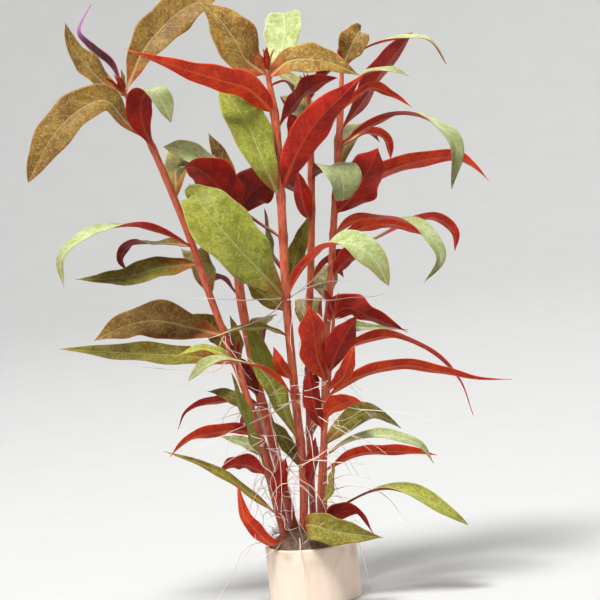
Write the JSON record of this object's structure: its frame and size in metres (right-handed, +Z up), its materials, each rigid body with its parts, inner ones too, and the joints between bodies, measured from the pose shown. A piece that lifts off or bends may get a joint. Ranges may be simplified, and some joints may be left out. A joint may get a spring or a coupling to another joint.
{
  "type": "potted aquarium plant",
  "caption": "Bunch of upright aquarium stems with long pointed leaves, red beneath and olive above, held by a plug of wool in a small clay pot.",
  "frame": {"origin": "centre of the flat foot of the pot, on the surface that it stands on", "axes": "+Z up through the pot, +X to the right and -Y towards the viewer of the picture"},
  "size_m": [0.1729, 0.0881, 0.2363],
  "materials": {
    "clay": "matte",
    "wool": "matte",
    "stem": "satin",
    "leaf_red": "satin",
    "leaf_olive": "satin"
  },
  "bodies": {
    "root": {"pot": "clay", "growing_plug": "wool", "stem_front": "stem", "leaf_front_1": "leaf_olive", "leaf_front_2": "leaf_red", "leaf_front_3": "leaf_olive", "leaf_front_4": "leaf_olive", "leaf_front_5": "leaf_olive", "leaf_front_6": "leaf_olive", "leaf_front_7": "leaf_olive", "leaf_front_8": "leaf_red", "leaf_front_9": "leaf_red", "leaf_front_10": "leaf_olive", "leaf_front_11": "leaf_red", "leaf_front_12": "leaf_olive", "stem_left": "stem", "leaf_left_1": "leaf_olive", "leaf_left_2": "leaf_red", "leaf_left_3": "leaf_olive", "leaf_left_4": "leaf_olive", "leaf_left_5": "leaf_olive", "leaf_left_6": "leaf_red", "leaf_left_7": "leaf_olive", "leaf_left_8": "leaf_olive", "leaf_left_9": "leaf_olive", "leaf_left_10": "leaf_olive", "stem_right": "stem", "leaf_right_1": "leaf_olive", "leaf_right_2": "leaf_olive", "leaf_right_3": "leaf_red", "leaf_right_4": "leaf_olive", "leaf_right_5": "leaf_red", "leaf_right_6": "leaf_red", "leaf_right_7": "leaf_red", "leaf_right_8": "leaf_red", "leaf_right_9": "leaf_red", "leaf_right_10": "leaf_olive", "leaf_right_11": "leaf_red", "leaf_right_12": "leaf_red", "stem_back_left": "stem", "leaf_back_left_1": "leaf_olive", "leaf_back_left_2": "leaf_red", "leaf_back_left_3": "leaf_red", "leaf_back_left_4": "leaf_red", "stem_back_right": "stem", "leaf_back_right_1": "leaf_olive", "leaf_back_right_2": "leaf_red", "leaf_back_right_3": "leaf_red", "stem_short_left": "stem", "leaf_short_left_1": "leaf_olive", "leaf_short_left_2": "leaf_red", "leaf_short_left_3": "leaf_red", "leaf_short_left_4": "leaf_olive", "leaf_short_left_5": "leaf_red", "stem_short_right": "stem", "leaf_short_right_1": "leaf_red", "leaf_short_right_2": "leaf_red", "leaf_short_right_3": "leaf_red", "leaf_short_right_4": "leaf_red", "leaf_short_right_5": "leaf_olive"}
  },
  "joints": []
}
